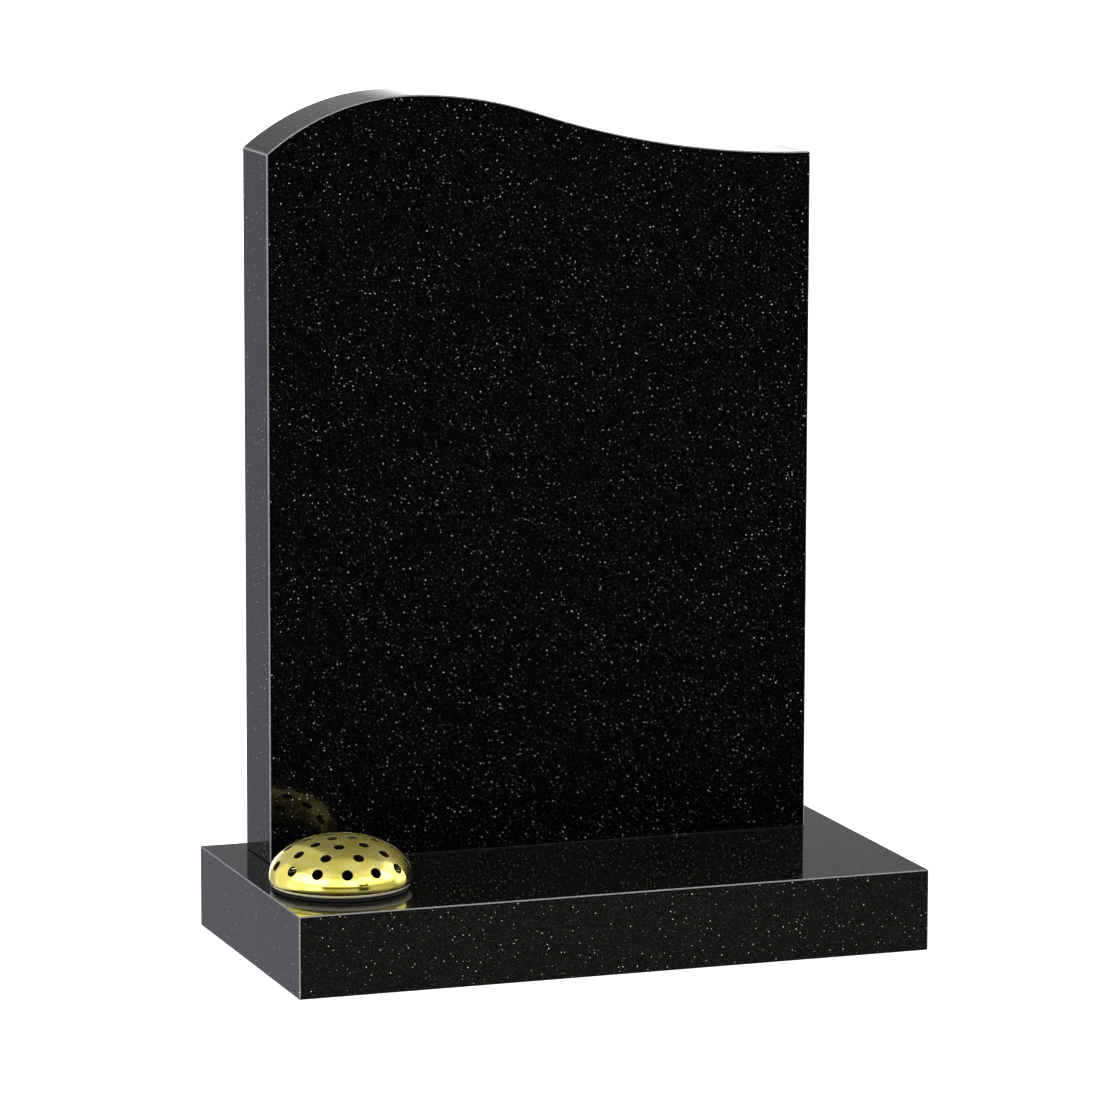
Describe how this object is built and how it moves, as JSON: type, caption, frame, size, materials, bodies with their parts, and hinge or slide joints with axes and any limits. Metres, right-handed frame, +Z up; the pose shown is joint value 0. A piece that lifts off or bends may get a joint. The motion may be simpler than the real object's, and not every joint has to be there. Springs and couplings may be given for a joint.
{
  "type": "headstone",
  "caption": "Upright ogee-topped tablet on a base slab that carries a bored-in flower container under a pierced domed lid.",
  "frame": {"origin": "on the ground under the middle of the base slab", "axes": "+Z up; the blank face of the tablet looks along -Y; +X is to the right of someone who faces it"},
  "size_m": [0.6096, 0.3174, 0.7877],
  "materials": {
    "tablet_granite": "mirror-polished black granite with fine pale flecks",
    "base_granite": "mirror-polished black granite with fine pale flecks, sawn underneath",
    "container_plastic": "satin black",
    "lid_metal": "bright gold-coloured mirror finish"
  },
  "bodies": {
    "root": {"headstone_tablet": "tablet_granite", "base_slab": "base_granite", "flower_container": "container_plastic", "container_lid": "lid_metal"}
  },
  "joints": []
}
